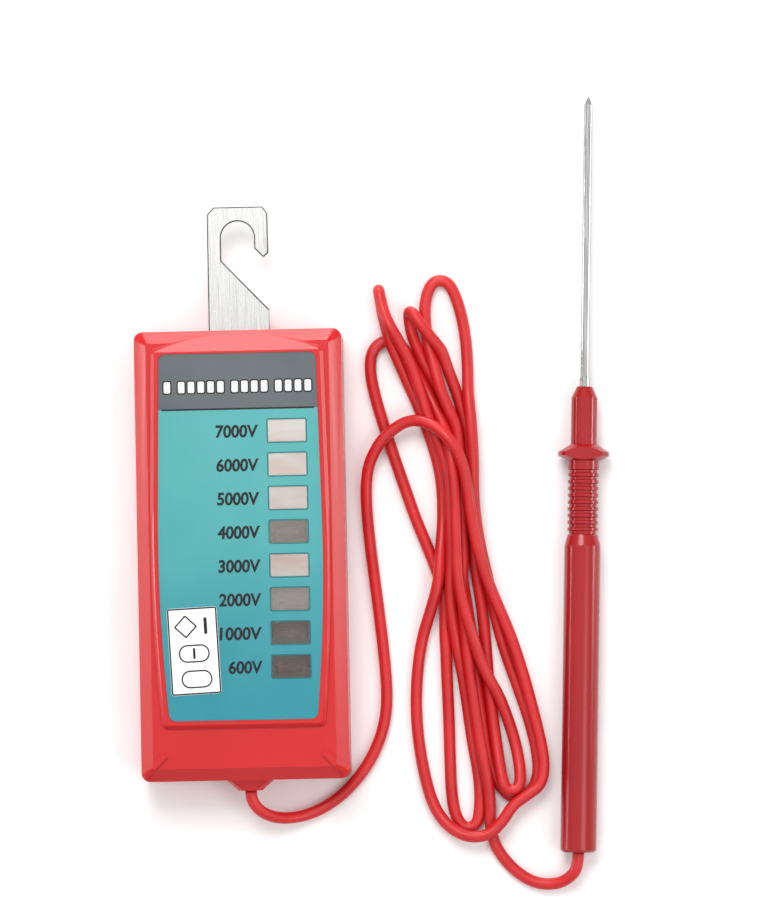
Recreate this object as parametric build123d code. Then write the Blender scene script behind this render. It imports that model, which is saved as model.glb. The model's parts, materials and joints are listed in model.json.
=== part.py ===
from build123d import *
import math
import os

# Fence voltage tester: a case with a hook and eight lamp windows, a lead lying in a loose hank, an earth probe.
# Millimetres. The origin is the centre of the case's back face, which lies on the surface at z = 0.
# +X is to the right of the face, +Y is towards the hook, +Z comes out of the face.

# Case
CASE_W, CASE_L, CASE_T = 70.0, 151.4, 28.0
CORNER_R = 3.0
WALL = 2.0
SEAM_Z = 12.0
PANEL_Z = 26.0  # lower panel of the front, round the raised plateau
BEVEL = 4.2  # 45 degree bevel round the front
BACK_EDGE_R = 1.2
TONGUE_T, TONGUE_H, TONGUE_GAP = 0.9, 1.2, 0.1  # rim of the rear cover that centres the front cover
SEAM_GROOVE = 0.45  # shadow line round the case where the covers meet

# Raised plateau and the label in it: half widths at the top, at the widest place and at the bottom
LABEL_HALF = (26.4, 27.5, 24.8)
LABEL_TOP, LABEL_WIDEST, LABEL_BOTTOM = 67.6, 15.0, -55.5
LABEL_R = 2.4
LABEL_RECESS, LABEL_T = 0.5, 0.3
RIM = 2.6  # plateau outside the label
PLATEAU_CROWN = 4.8  # rise of the arch at the plateau's top edge
PLATEAU_BEVEL = 1.2
CROWN_FOOT, CROWN_SLOPE = 0.8, 13.0  # the plateau falls away, in degrees, this far above the label

# Lamp windows
WINDOW_W, WINDOW_H = 12.8, 7.5
WINDOW_X, WINDOW_TOP_Y, WINDOW_PITCH = 16.3, 41.3, 11.31
WINDOW_COUNT = 8
LENS_GAP = 0.1
LENS_FLANGE, LENS_FLANGE_T = 0.9, 1.0

# Rating sticker on the label
STICKER_W, STICKER_L, STICKER_T = 16.8, 29.2, 0.15
STICKER_AT, STICKER_TILT = (-16.2, -32.1), 2.5

# Raised ribs across the two lower corners
RIB_W, RIB_L, RIB_H = 2.2, 10.2, 1.4
RIB_AT = (30.4, -70.3)

# Cable nozzle
NOZZLE_X = 1.2
NOZZLE_BASE, NOZZLE_TIP = (16.0, 11.0), (8.0, 8.0)
NOZZLE_LEN = 3.6
LEAD_R = 2.0
LEAD_HOLE_R = 2.1

CLAMP_DX, CLAMP_Y, CLAMP_Z, CLAMP_T, CLAMP_W = 7.0, -66.0, 11.0, 5.0, 6.0  # bar on two posts inside the case

# Case screws and bosses
BOSS_AT = (27.5, 66.0)
BOSS_R = 3.7
SCREW_HOLE_R, PILOT_R = 1.6, 1.2
HEAD_R, HEAD_H, COUNTERBORE_R, COUNTERBORE_H = 2.7, 2.0, 3.0, 2.6
CASE_SCREW_LEN = 16.0

# Circuit board
BOARD_W, BOARD_L, BOARD_T, BOARD_Z = 60.0, 116.0, 1.6, 10.4
BOARD_SCREW_AT = (26.0, 54.0)
SMALL_HOLE_R, SMALL_PILOT_R = 1.3, 0.9
SMALL_HEAD_R, SMALL_HEAD_H = 2.1, 1.4
POST_R = 3.0

# Lamps, baffle and resistors
LAMP_R, LAMP_LEN, LAMP_Z = 2.5, 11.0, 19.4
LAMP_LEG_R, LAMP_LEG_GAP = 0.3, 1.6
BAFFLE_W, BAFFLE_WALL, BAFFLE_Z0, BAFFLE_Z1 = 17.0, 1.1, 13.0, 24.7
RESISTOR_R, RESISTOR_LEN, RESISTOR_LEG_R = 2.2, 15.0, 0.4
SMALL_RESISTOR_R, SMALL_RESISTOR_LEN = 1.0, 5.0
LADDER_X, LAMP_RESISTOR_X = -17.0, 1.0

# Hook plate
HOOK_T = 2.0
HOOK_X = 0.3
HOOK_HALF = 10.3
HOOK_TOP, HOOK_CHAMFER = 118.0, 2.4
THROAT_R, THROAT_Y = 5.6, 107.5
THROAT_FLOOR = 99.8  # where the diagonal edge leaves the throat
BEAK_Y, BEAK_TIP_X = 102.2, 9.0
SHOULDER_Y = 84.6
HOOK_TAIL_Y = 59.5
HOOK_SCREW_DX, HOOK_SCREW_Y = 6.0, 65.0

# Earth probe, measured along its axis from the rear end
PROBE_REAR = (111.1, -102.4)
PROBE_LEAN = 2.02  # degrees, tip to the right
HANDLE_R, HANDLE_BORE_R = 6.1, 4.2
CAP_LEN, CAP_SPIGOT = 3.0, 9.0
HANDLE_END, GRIP_START, GRIP_END = 103.5, 106.9, 132.2
GRIP_R, GROOVE_DEPTH, RIB_PITCH = 5.2, 0.55, 2.3
GUARD_END, GUARD_R, GUARD_EDGE = 137.9, 8.7, 1.3
NOSE_R, NOSE_CONE, NOSE_END, NOSE_TIP_R = 4.4, 153.6, 157.4, 2.6
ROD_R, ROD_COLLAR_R, ROD_COLLAR_END = 1.5, 1.75, 160.4
ROD_START, ROD_SHOULDER, ROD_TIP, ROD_TIP_R = 118.0, 253.3, 255.8, 0.25
FERRULE_R, FERRULE_START, FERRULE_END = 2.5, 108.0, 122.0
CORE_R, CORE_END = 0.7, 114.0
PROBE_JACKET_END = 98.0

# Lead: the route of its uncoiled stretches, and the hank between them
LEAD_EXIT_Y = -CASE_L / 2 - NOZZLE_LEN
LEAD_FROM_CASE = [
    (NOZZLE_X, LEAD_EXIT_Y, SEAM_Z),
    (NOZZLE_X, -82.2, SEAM_Z),
    (3.6, -86.0, 10.6),
    (8.0, -88.5, 7.6),
    (13.6, -89.1, 4.6),
    (20.2, -88.0, 2.6),
    (27.2, -84.8, 2.0),
    (34.0, -79.5, 2.0),
    (40.4, -71.9, 2.0),
    (45.1, -62.6, 2.0),
    (47.5, -52.4, 2.0),
    (47.3, -40.0, 2.0),
    (45.5, -21.0, 2.0),
    (43.3, -2.0, 2.0),
    (41.7, 15.0, 2.2),
    (42.0, 27.6, 3.8),
    (45.2, 35.4, 5.6),
    (50.0, 41.0, 6.0),
]
LEAD_TO_PROBE = [
    (82.0, -97.4, 2.0),
    (85.0, -103.0, 2.0),
    (90.0, -108.8, 2.0),
    (96.6, -112.8, 2.0),
    (103.4, -113.2, 3.0),
    (108.4, -110.8, 5.0),
    (110.93, -107.2, HANDLE_R),
    (*PROBE_REAR, HANDLE_R),
]
HANK_LOOP_H, HANK_WAIST_H = 8.0, 12.0


def block(x0, x1, y0, y1, z0, z1):
    """Box between two opposite corners."""
    centre = Pos((x0 + x1) / 2, (y0 + y1) / 2, (z0 + z1) / 2)
    return centre * Box(x1 - x0, y1 - y0, z1 - z0)


def post(x, y, z0, z1, radius):
    """Upright cylinder from z0 to z1."""
    return Pos(x, y, (z0 + z1) / 2) * Cylinder(radius, z1 - z0)


def bar(start, end, radius):
    """Round bar from one point to another."""
    line = Line(start, end)
    return sweep(Plane(origin=start, z_dir=line % 0) * Circle(radius), path=line)


def four(at):
    """The four places at plus and minus these distances."""
    return [(sx * at[0], sy * at[1]) for sx in (-1, 1) for sy in (-1, 1)]


def window_rows():
    return [WINDOW_TOP_Y - WINDOW_PITCH * row for row in range(WINDOW_COUNT)]


# ---------------------------------------------------------------- case


def outline(inset):
    radius = max(CORNER_R - inset, 0.8)
    return RectangleRounded(CASE_W - 2 * inset, CASE_L - 2 * inset, radius)


def bevelled_prism(inset, z0, bevel_z, top_z):
    """Case outline from z0 up to bevel_z, then leaning in at 45 degrees up to top_z."""
    straight = Pos(0, 0, z0) * extrude(outline(inset), bevel_z - z0)
    lean = loft([Pos(0, 0, bevel_z) * outline(inset), Pos(0, 0, top_z) * outline(inset + top_z - bevel_z)],
                ruled=True)
    return straight + lean


def face_outline(grow, crown):
    """Outline of the label, or of the plateau when it is grown and its top edge is an arch."""
    top, widest, bottom = (half + grow for half in LABEL_HALF)
    top_y, bottom_y = LABEL_TOP + grow * 0.7, LABEL_BOTTOM - grow
    side = Line((top, top_y), (widest, LABEL_WIDEST))
    lower_side = TangentArc((widest, LABEL_WIDEST), (bottom, bottom_y), tangent=side % 1)
    edges = [side, lower_side]
    edges += [mirror(edge, about=Plane.YZ) for edge in edges]
    edges.append(Line((-bottom, bottom_y), (bottom, bottom_y)))
    if crown:
        edges.append(ThreePointArc((-top, top_y), (0, top_y + crown), (top, top_y)))
    else:
        edges.append(Line((-top, top_y), (top, top_y)))
    face = make_face(edges)
    corners = [v for v in face.vertices() if min(abs(v.Y - top_y), abs(v.Y - bottom_y)) < 0.01]
    return fillet(corners, LABEL_R)


def plateau():
    body = Pos(0, 0, SEAM_Z) * extrude(face_outline(RIM, PLATEAU_CROWN), CASE_T - SEAM_Z)
    body = chamfer(body.faces().sort_by(Axis.Z)[-1].edges(), PLATEAU_BEVEL)
    slope = Pos(0, LABEL_TOP + CROWN_FOOT, CASE_T) * Rot(-CROWN_SLOPE, 0, 0)
    return body - slope * block(-CASE_W, CASE_W, 0, CASE_W, 0, CASE_T)


def nozzle():
    """Tapered cable exit at the bottom of the case, whole; each cover takes its half."""
    def section(size, y):
        plane = Plane(origin=(NOZZLE_X, y, SEAM_Z), x_dir=(1, 0, 0), z_dir=(0, -1, 0))
        return plane * RectangleRounded(*size, 2.4)
    wall_y = -CASE_L / 2
    root = extrude(section(NOZZLE_BASE, wall_y + WALL), WALL)
    return root + loft([section(NOZZLE_BASE, wall_y), section(NOZZLE_TIP, LEAD_EXIT_Y)], ruled=True)


def lead_bore():
    return bar((NOZZLE_X, LEAD_EXIT_Y - 1, SEAM_Z), (NOZZLE_X, -CASE_L / 2 + 2 * WALL, SEAM_Z), LEAD_HOLE_R)


def hook_slot():
    """Room for the hook plate in the top wall."""
    half = HOOK_HALF + 0.2
    return block(HOOK_X - half, HOOK_X + half, CASE_L / 2 - 2 * WALL, CASE_L / 2 + 1, SEAM_Z, SEAM_Z + HOOK_T + 0.1)


def front_cover():
    bevel_z = PANEL_Z - BEVEL
    outer = bevelled_prism(0, SEAM_Z, bevel_z, PANEL_Z)
    raised = bevelled_prism(0, SEAM_Z, bevel_z + RIB_H, PANEL_Z + RIB_H)
    for side in (-1, 1):
        rib = Pos(side * RIB_AT[0], RIB_AT[1], PANEL_Z) * Rot(0, 0, -side * 45) * Box(RIB_L, RIB_W, 12)
        outer += rib & raised
    wall_slant = WALL * math.sqrt(2) - WALL  # keeps the wall's thickness under the 45 degree bevel
    cavity = bevelled_prism(WALL, SEAM_Z, bevel_z - wall_slant, PANEL_Z - WALL)
    pocket = Pos(0, 0, SEAM_Z) * extrude(face_outline(-0.5, 0), PANEL_Z - SEAM_Z)
    shell_top = outer + (plateau() & block(-CASE_W, CASE_W, -CASE_L / 2, CASE_L / 2, SEAM_Z, CASE_T))
    groove = extrude(outline(0), SEAM_GROOVE) - extrude(outline(SEAM_GROOVE), SEAM_GROOVE)
    cover = shell_top - cavity - pocket - Pos(0, 0, SEAM_Z) * groove
    for x, y in four(BOSS_AT):
        cover += post(x, y, SEAM_Z, PANEL_Z - WALL + 0.5, BOSS_R)
        cover -= post(x, y, SEAM_Z, SEAM_Z + 10, PILOT_R)
    cover += nozzle() & block(-CASE_W, CASE_W, -CASE_L, 0, SEAM_Z, CASE_T)
    cover -= Pos(0, 0, CASE_T - LABEL_RECESS) * extrude(face_outline(0.1, 0), 2 * LABEL_RECESS)
    for y in window_rows():
        cover -= Pos(WINDOW_X, y, PANEL_Z) * Box(WINDOW_W, WINDOW_H, 3 * WALL)
    rebate = Pos(0, 0, SEAM_Z) * extrude(
        outline(WALL - TONGUE_T - TONGUE_GAP), TONGUE_H + TONGUE_GAP)
    for x, y in four(BOSS_AT):
        rebate -= post(x, y, SEAM_Z, SEAM_Z + TONGUE_H + TONGUE_GAP, BOSS_R)
    return cover - rebate - lead_bore() - hook_slot()


def rear_cover():
    body = extrude(outline(0), SEAM_Z)
    body = fillet(body.faces().sort_by(Axis.Z)[0].edges(), BACK_EDGE_R)
    tongue = Pos(0, 0, SEAM_Z) * extrude(outline(WALL - TONGUE_T), TONGUE_H)
    cover = body + tongue - Pos(0, 0, WALL) * extrude(outline(WALL), SEAM_Z + TONGUE_H)
    cover -= block(HOOK_X - 11, HOOK_X + 11, CASE_L / 2 - 4, CASE_L / 2, SEAM_Z, SEAM_Z + 2 * TONGUE_H)
    half_nozzle = NOZZLE_BASE[0] / 2 + 1
    cover -= block(NOZZLE_X - half_nozzle, NOZZLE_X + half_nozzle, -CASE_L / 2, -CASE_L / 2 + 4,
                   SEAM_Z, SEAM_Z + 2 * TONGUE_H)
    cover += nozzle() & block(-CASE_W, CASE_W, -CASE_L, 0, 0, SEAM_Z)
    for x, y in four(BOSS_AT):
        cover += post(x, y, WALL / 2, SEAM_Z, BOSS_R)
        cover -= block(x - BOSS_R, x + BOSS_R, y - BOSS_R, y + BOSS_R, SEAM_Z, SEAM_Z + 2 * TONGUE_H)
        cover -= post(x, y, 0, SEAM_Z, SCREW_HOLE_R)
        cover -= post(x, y, 0, COUNTERBORE_H, COUNTERBORE_R)
    for x, y in four(BOARD_SCREW_AT):
        cover += post(x, y, WALL / 2, BOARD_Z, POST_R) - post(x, y, BOARD_Z - 6, BOARD_Z, SMALL_PILOT_R)
    for side in (-1, 1):
        hook_x, clamp_x = HOOK_X + side * HOOK_SCREW_DX, NOZZLE_X + side * CLAMP_DX
        cover += post(hook_x, HOOK_SCREW_Y, WALL / 2, SEAM_Z, POST_R)
        cover -= post(hook_x, HOOK_SCREW_Y, SEAM_Z - 7, SEAM_Z, SMALL_PILOT_R)
        cover += post(clamp_x, CLAMP_Y, WALL / 2, CLAMP_Z, POST_R)
        cover -= post(clamp_x, CLAMP_Y, CLAMP_Z - 6, CLAMP_Z, SMALL_PILOT_R)
    return cover - lead_bore()


def cable_clamp():
    """Bar with a round groove that presses the lead's jacket, on two posts."""
    half = CLAMP_DX + POST_R
    clamp = block(NOZZLE_X - half, NOZZLE_X + half, CLAMP_Y - CLAMP_W / 2, CLAMP_Y + CLAMP_W / 2,
                  CLAMP_Z, CLAMP_Z + CLAMP_T)
    clamp -= bar((NOZZLE_X, CLAMP_Y - CLAMP_W, SEAM_Z), (NOZZLE_X, CLAMP_Y + CLAMP_W, SEAM_Z), LEAD_R)
    clamp -= block(NOZZLE_X - LEAD_R, NOZZLE_X + LEAD_R, CLAMP_Y - CLAMP_W, CLAMP_Y + CLAMP_W, CLAMP_Z, SEAM_Z)
    for side in (-1, 1):
        clamp -= post(NOZZLE_X + side * CLAMP_DX, CLAMP_Y, CLAMP_Z, CLAMP_Z + CLAMP_T, SMALL_HOLE_R)
    return clamp


def screw(x, y, seat_z, length, shank_r, head_r, head_h, up):
    """Round-headed screw with a cross recess; its head points up or down from the seat."""
    sign = 1 if up else -1
    shank = post(x, y, *sorted((seat_z, seat_z - sign * length)), shank_r)
    head = post(x, y, *sorted((seat_z, seat_z + sign * head_h)), head_r)
    rim = head.faces().sort_by(Axis.Z)[-1 if up else 0].edges()
    head = fillet(rim, head_h * 0.4)
    recess_z = seat_z + sign * head_h
    for size in ((head_r * 1.1, 0.5), (0.5, head_r * 1.1)):
        head -= Pos(x, y, recess_z) * Box(*size, head_h)
    return shank + head


def case_screws():
    return [screw(x, y, COUNTERBORE_H, CASE_SCREW_LEN, PILOT_R, HEAD_R, HEAD_H, False) for x, y in four(BOSS_AT)]


def small_screw(x, y, seat_z, length):
    return screw(x, y, seat_z, length, SMALL_PILOT_R, SMALL_HEAD_R, SMALL_HEAD_H, True)


def board_screws():
    return [small_screw(x, y, BOARD_Z + BOARD_T, 6) for x, y in four(BOARD_SCREW_AT)]


def hook_screws():
    return [small_screw(HOOK_X + side * HOOK_SCREW_DX, HOOK_SCREW_Y, SEAM_Z + HOOK_T, 8) for side in (-1, 1)]


def clamp_screws():
    return [small_screw(NOZZLE_X + side * CLAMP_DX, CLAMP_Y, CLAMP_Z + CLAMP_T, 10) for side in (-1, 1)]


def face_label():
    """Printed film with an opening over each lamp."""
    film = Pos(0, 0, CASE_T - LABEL_RECESS) * extrude(face_outline(0, 0), LABEL_T)
    for y in window_rows():
        film -= Pos(WINDOW_X, y, CASE_T) * Box(WINDOW_W, WINDOW_H, 2)
    return film


def rating_sticker():
    plate = extrude(RectangleRounded(STICKER_W, STICKER_L, 0.8), STICKER_T)
    return Pos(*STICKER_AT, CASE_T - LABEL_RECESS + LABEL_T) * Rot(0, 0, STICKER_TILT) * plate


def window_lens(y):
    """Clear window: a block that fills the opening, on a flange inside the cover."""
    flange_z = PANEL_Z - LENS_FLANGE_T
    pane = block(WINDOW_X - WINDOW_W / 2 + LENS_GAP, WINDOW_X + WINDOW_W / 2 - LENS_GAP,
                 y - WINDOW_H / 2 + LENS_GAP, y + WINDOW_H / 2 - LENS_GAP,
                 flange_z, CASE_T - LABEL_RECESS + LABEL_T)
    half_w, half_h = WINDOW_W / 2 + LENS_FLANGE, WINDOW_H / 2 + LENS_FLANGE
    return pane + block(WINDOW_X - half_w, WINDOW_X + half_w, y - half_h, y + half_h, flange_z, PANEL_Z)


def lamp_baffle():
    """White tray with one cell for each lamp."""
    half = WINDOW_PITCH / 2
    rows = window_rows()
    tray = block(WINDOW_X - BAFFLE_W / 2, WINDOW_X + BAFFLE_W / 2, rows[-1] - half, rows[0] + half,
                 BAFFLE_Z0, BAFFLE_Z1)
    for y in rows:
        tray -= Pos(WINDOW_X, y, BAFFLE_Z0 + BAFFLE_WALL + BAFFLE_Z1 / 2) * Box(
            BAFFLE_W - 2 * BAFFLE_WALL, WINDOW_PITCH - BAFFLE_WALL, BAFFLE_Z1)
        for side in (-1, 1):
            tray -= post(WINDOW_X - LAMP_LEN / 2 - 1.2, y + side * LAMP_LEG_GAP / 2, BAFFLE_Z0 - 1,
                         BAFFLE_Z0 + 2, LAMP_LEG_R + 0.2)
    return tray


def neon_lamp(y):
    """Glass envelope lying across its window, with a pinched tip."""
    profile = make_face([
        Line((0, 0), (0, LAMP_R - 0.5)),
        Line((0, LAMP_R - 0.5), (0.5, LAMP_R)),
        Line((0.5, LAMP_R), (LAMP_LEN - LAMP_R, LAMP_R)),
        ThreePointArc((LAMP_LEN - LAMP_R, LAMP_R), (LAMP_LEN - 0.9, 1.7), (LAMP_LEN - 0.2, 0.6)),
        Line((LAMP_LEN - 0.2, 0.6), (LAMP_LEN + 0.6, 0)),
        Line((LAMP_LEN + 0.6, 0), (0, 0)),
    ])
    return Pos(WINDOW_X - LAMP_LEN / 2, y, LAMP_Z) * revolve(profile, axis=Axis.X)


def lamp_legs():
    """Two wires from each lamp's base, bent down to the board."""
    legs = []
    base_x, top_z = WINDOW_X - LAMP_LEN / 2, BOARD_Z + BOARD_T
    for y in window_rows():
        for side in (-1, 1):
            leg_y = y + side * LAMP_LEG_GAP / 2
            path = FilletPolyline((base_x, leg_y, LAMP_Z), (base_x - 1.2, leg_y, LAMP_Z),
                                  (base_x - 1.2, leg_y, top_z), radius=0.8)
            legs.append(sweep(Plane(origin=path @ 0, z_dir=path % 0) * Circle(LAMP_LEG_R), path=path))
    return legs


def circuit_board():
    board = Pos(0, 0, BOARD_Z) * extrude(RectangleRounded(BOARD_W, BOARD_L, 1.5), BOARD_T)
    for x, y in four(BOARD_SCREW_AT):
        board -= post(x, y, BOARD_Z - 1, BOARD_Z + BOARD_T + 1, SMALL_HOLE_R)
    return board


def resistor(x, y, radius, length):
    """Dumb-bell shaped body above the board, on two wire legs."""
    top = BOARD_Z + BOARD_T
    z = top + radius + 0.6
    reach = length / 2 + 2
    body = Pos(x, y, z) * Rot(0, 90, 0) * Cylinder(radius * 0.86, length)
    for side in (-1, 1):
        end = Pos(x + side * (length / 2 - length * 0.12), y, z) * Rot(0, 90, 0) * Cylinder(radius, length * 0.24)
        body += end
        body += bar((x + side * length * 0.4, y, z), (x + side * reach, y, z), RESISTOR_LEG_R)
        body += post(x + side * reach, y, top, z + RESISTOR_LEG_R, RESISTOR_LEG_R)
    return body


def ladder_resistors():
    return [resistor(LADDER_X, y, RESISTOR_R, RESISTOR_LEN) for y in window_rows()]


def lamp_resistors():
    return [resistor(LAMP_RESISTOR_X, y, SMALL_RESISTOR_R, SMALL_RESISTOR_LEN) for y in window_rows()]


def hook_plate():
    """Flat steel plate: a straight left arm, an arch over the throat, a beak, and a diagonal lower edge."""
    left, right = HOOK_X - HOOK_HALF, HOOK_X + HOOK_HALF
    throat_left, throat_right = HOOK_X - THROAT_R, HOOK_X + THROAT_R
    upper = Polyline((throat_left, THROAT_Y), (throat_left, THROAT_FLOOR), (right - HOOK_CHAMFER, SHOULDER_Y + 1),
                     (right, SHOULDER_Y - 1.4), (right, HOOK_TAIL_Y), (left, HOOK_TAIL_Y),
                     (left, HOOK_TOP - HOOK_CHAMFER), (left + HOOK_CHAMFER, HOOK_TOP),
                     (right - HOOK_CHAMFER * 0.7, HOOK_TOP), (right, HOOK_TOP - HOOK_CHAMFER),
                     (right, BEAK_Y), (BEAK_TIP_X, BEAK_Y - 1.5), (throat_right, BEAK_Y + 1.6),
                     (throat_right, THROAT_Y))
    arch = ThreePointArc((throat_right, THROAT_Y), (HOOK_X, THROAT_Y + THROAT_R), (throat_left, THROAT_Y))
    plate = Pos(0, 0, SEAM_Z) * extrude(make_face([*upper.edges(), arch]), HOOK_T)
    for side in (-1, 1):
        plate -= post(HOOK_X + side * HOOK_SCREW_DX, HOOK_SCREW_Y, SEAM_Z - 1, SEAM_Z + HOOK_T + 1, SMALL_HOLE_R)
    return plate


def hook_wire():
    """Insulated wire from the hook plate's tail to the board."""
    plate_z, board_z = SEAM_Z + HOOK_T, BOARD_Z + BOARD_T
    arch_z = plate_z + 4
    path = FilletPolyline((HOOK_X, 61.5, plate_z), (HOOK_X, 61.5, arch_z), (HOOK_X, 54.0, arch_z),
                          (HOOK_X, 54.0, board_z), radius=2.0)
    return sweep(Plane(origin=path @ 0, z_dir=path % 0) * Circle(0.8), path=path)


def lead_inner_end():
    """Jacket of the lead from the nozzle's mouth, under the clamp, to the board's edge."""
    return bar((NOZZLE_X, LEAD_EXIT_Y, SEAM_Z), (NOZZLE_X, -BOARD_L / 2 - 2, SEAM_Z), LEAD_R)


def lead_inner_core():
    """Bared core of the lead, soldered flat on the board."""
    z = BOARD_Z + BOARD_T + CORE_R
    return bar((NOZZLE_X, -BOARD_L / 2 - 2, z), (NOZZLE_X, -BOARD_L / 2 + 6, z), CORE_R)


# ---------------------------------------------------------------- probe


def on_probe(shape):
    """Moves a shape made along +Y from the origin onto the probe's axis."""
    return Pos(*PROBE_REAR, HANDLE_R) * Rot(0, 0, -PROBE_LEAN) * shape


def turned(*points):
    """Solid of revolution about +Y through (radius, length) points."""
    return revolve(make_face(Polyline(*points, close=True)), axis=Axis.Y)


def probe_handle():
    tube = turned((HANDLE_BORE_R, CAP_LEN), (HANDLE_R, CAP_LEN), (HANDLE_R, HANDLE_END), (HANDLE_BORE_R, HANDLE_END))
    return on_probe(tube)


def probe_end_cap():
    spigot_r, edge = HANDLE_BORE_R - 0.1, 0.8
    cap = turned((LEAD_HOLE_R, 0), (HANDLE_R - edge, 0), (HANDLE_R, edge), (HANDLE_R, CAP_LEN), (spigot_r, CAP_LEN),
                 (spigot_r, CAP_SPIGOT), (LEAD_HOLE_R, CAP_SPIGOT))
    return on_probe(cap)


def probe_nose():
    """Front piece: ribbed grip, finger guard with flats above and below, smooth nose round the rod."""
    spigot_r, spigot_start, cup_r, cup_end = HANDLE_BORE_R - 0.1, 92.0, 3.1, 126.0
    groove_r = GRIP_R - GROOVE_DEPTH
    grip = []
    ribs = int((GRIP_END - GRIP_START) / RIB_PITCH)
    for rib in range(ribs):
        start = GRIP_START + 0.6 + rib * RIB_PITCH
        grip += [(groove_r, start), (groove_r, start + 0.8), (GRIP_R, start + 1.1), (GRIP_R, start + 2.0)]
    body = turned(
        (cup_r, spigot_start), (spigot_r, spigot_start), (spigot_r, HANDLE_END), (HANDLE_R, HANDLE_END),
        (GRIP_R, GRIP_START), *grip, (GRIP_R, GRIP_END),
        (GUARD_R, GUARD_END - 4.0), (GUARD_R, GUARD_END - 4.0 + GUARD_EDGE), (NOSE_R, GUARD_END),
        (NOSE_R, NOSE_CONE), (NOSE_TIP_R, NOSE_END), (ROD_R, NOSE_END), (ROD_R, cup_end), (cup_r, cup_end))
    flats = Box(3 * GUARD_R, 2 * NOSE_END, 2 * HANDLE_R)
    return on_probe(body & flats)


def probe_rod():
    rod = turned((0, ROD_START), (ROD_R, ROD_START), (ROD_R, NOSE_END), (ROD_COLLAR_R, NOSE_END),
                 (ROD_COLLAR_R, ROD_COLLAR_END), (ROD_R, ROD_COLLAR_END + 0.4), (ROD_R, ROD_SHOULDER),
                 (ROD_TIP_R, ROD_TIP), (0, ROD_TIP))
    return on_probe(rod)


def probe_ferrule():
    """Crimp sleeve: the rod in its front bore, the core in its rear bore."""
    sleeve = turned((CORE_R, FERRULE_START), (FERRULE_R, FERRULE_START), (FERRULE_R, FERRULE_END),
                    (ROD_R, FERRULE_END), (ROD_R, ROD_START), (0, ROD_START), (0, CORE_END), (CORE_R, CORE_END))
    return on_probe(sleeve)


def probe_lead_end():
    return on_probe(turned((0, 0), (LEAD_R, 0), (LEAD_R, PROBE_JACKET_END), (0, PROBE_JACKET_END)))


def probe_lead_core():
    return on_probe(turned((0, PROBE_JACKET_END), (CORE_R, PROBE_JACKET_END), (CORE_R, CORE_END), (0, CORE_END)))


# ---------------------------------------------------------------- lead


def corner_radii(route):
    """Radius of each arc: 0.45 of the shorter run, over the tangent of half the turn."""
    points = [Vector(*point) for point in route]
    radii = []
    for before, here, after in zip(points, points[1:], points[2:]):
        run_in, run_out = here - before, after - here
        half_turn = math.radians(run_in.get_angle(run_out)) / 2
        radii.append(0.45 * min(run_in.length, run_out.length) / math.tan(half_turn))
    return radii


def lead_tube(name, route):
    radii = corner_radii(route)
    path = FilletPolyline(*route, radius=radii)
    tube = sweep(Plane(origin=path @ 0, z_dir=path % 0) * Circle(LEAD_R), path=path)
    expected = math.pi * LEAD_R**2 * path.length
    print(name, "length", round(path.length, 1), "radii", [round(r, 1) for r in radii],
          "volume over section x length", round(tube.volume / expected, 4))
    return tube


def bundle(*circles):
    """Outline drawn tightly round (x, y, radius) circles: the outer shape of a bundle of loops."""
    rings = [Pos(x, y) * Circle(radius) for x, y, radius in circles]
    return make_hull([edge for ring in rings for edge in ring.edges()])


def lead_hank():
    """Outer shape of the hank: loops above and below a thicker waist."""
    loops = bundle((73.4, 20, 6.8), (75.5, -40, 18.0), (79.1, -68, 23.2), (77.0, -84, 14.2))
    loops += bundle((73.4, 20, 6.8), (73.2, 60, 6.2), (69.2, 86.8, 8.2))
    loops += bundle((73.4, 20, 6.8), (58.4, 79.4, 3.2))
    loops += bundle((69.5, -5, 5.4), (56.5, 35, 7.9), (50.6, 65.8, 8.6))
    loops += bundle((60, 62, 5.0), (47.6, 86.0, 2.6))
    waist = bundle((73.2, 34, 6.8), (74.5, -8, 7.4))
    return extrude(loops, HANK_LOOP_H) + extrude(waist, HANK_WAIST_H)


def save(name, shape):
    """Writes one node; a list becomes a group of separate solids."""
    if isinstance(shape, list):
        shape = Compound([solid for item in shape for solid in item.solids()])
    shape.label = name
    export_step(shape, f"parts/{name}.step")


def main():
    os.makedirs("parts", exist_ok=True)
    makers = [
        front_cover, rear_cover, face_label, rating_sticker, lamp_baffle, lamp_legs, circuit_board,
        ladder_resistors, lamp_resistors, hook_plate, hook_screws, hook_wire, case_screws, board_screws,
        cable_clamp, clamp_screws, lead_inner_end, lead_inner_core, probe_handle, probe_end_cap, probe_nose,
        probe_rod, probe_ferrule, probe_lead_end, probe_lead_core, lead_hank,
    ]
    for maker in makers:
        save(maker.__name__, maker())
    for number, y in enumerate(window_rows(), start=1):
        save(f"window_lens_{number}", window_lens(y))
        save(f"neon_lamp_{number}", neon_lamp(y))
    save("lead_from_case", lead_tube("lead_from_case", LEAD_FROM_CASE))
    save("lead_to_probe", lead_tube("lead_to_probe", LEAD_TO_PROBE))


main()
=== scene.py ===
import bmesh
import bpy
import json
import math
from mathutils import Matrix, Vector, kdtree


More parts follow.
